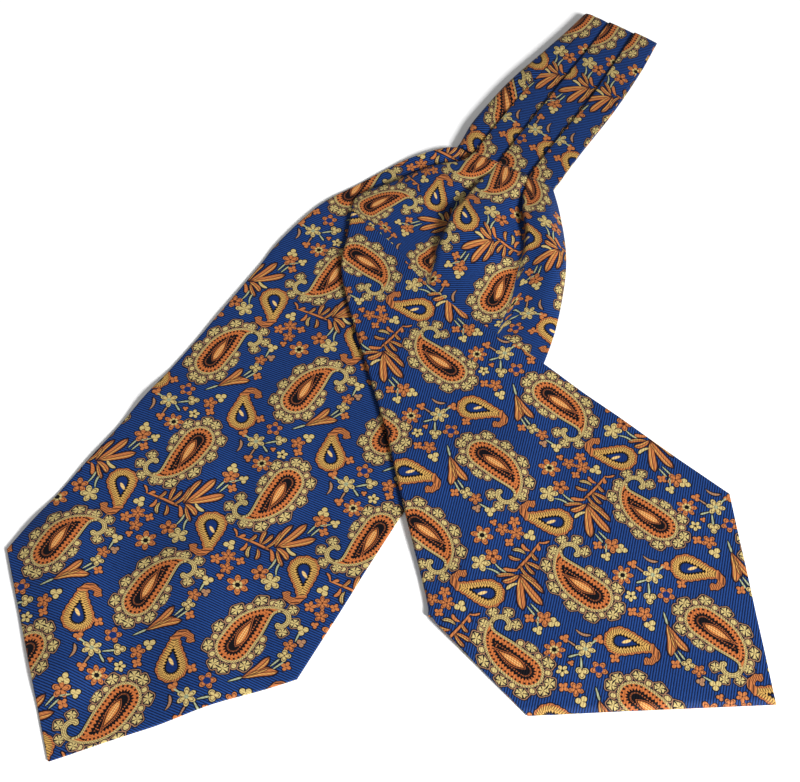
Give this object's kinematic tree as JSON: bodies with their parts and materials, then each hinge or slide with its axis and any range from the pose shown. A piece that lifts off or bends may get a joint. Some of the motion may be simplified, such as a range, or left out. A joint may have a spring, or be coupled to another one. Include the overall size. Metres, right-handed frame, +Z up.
{
  "type": "silk cravat",
  "caption": "Pleated silk cravat folded in half and laid out flat, neckband at the top, one blade folded over the other, both with pointed ends.",
  "frame": {"origin": "under the middle of the whole outline, on the surface the cravat lies on", "axes": "+Z up off the surface, +Y towards the neckband's end, away from the viewer, +X to the viewer's right"},
  "size_m": [0.3613, 0.4938, 0.0117],
  "materials": {
    "silk_neckband": "woven silk, royal blue ribbed ground with orange and yellow paisley, soft sheen",
    "silk_blade": "woven silk, royal blue ribbed ground with orange and yellow paisley, soft sheen"
  },
  "bodies": {
    "root": {"neckband": "silk_neckband", "blade_under": "silk_blade", "blade_over": "silk_blade"}
  },
  "joints": []
}
